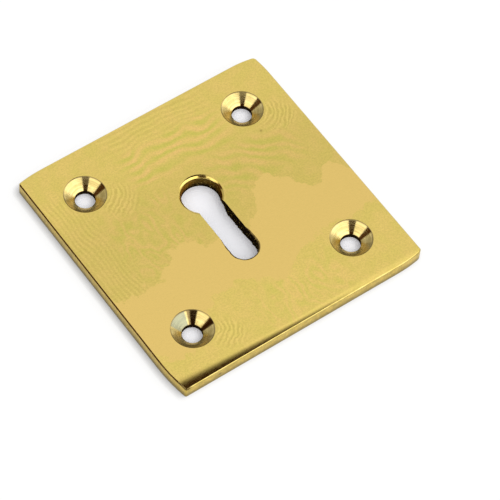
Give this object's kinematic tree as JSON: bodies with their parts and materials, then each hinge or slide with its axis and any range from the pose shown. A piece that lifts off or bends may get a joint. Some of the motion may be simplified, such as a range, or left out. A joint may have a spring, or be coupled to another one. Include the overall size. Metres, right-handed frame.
{
  "type": "keyhole escutcheon",
  "caption": "Square flat polished brass keyhole plate, with a round-headed keyhole in the middle and a countersunk screw hole near each corner.",
  "frame": {"origin": "middle of the plate's flat back", "axes": "+Z out of the polished face, away from the door; +Y up the plate, towards the round head of the keyhole; +X to the right, seen from the face"},
  "size_m": [0.05, 0.05, 0.0025],
  "materials": {
    "brass": "polished face with a fine lapped grain; satin edges; rough slot walls"
  },
  "bodies": {
    "root": {"escutcheon_plate": "brass"}
  },
  "joints": []
}
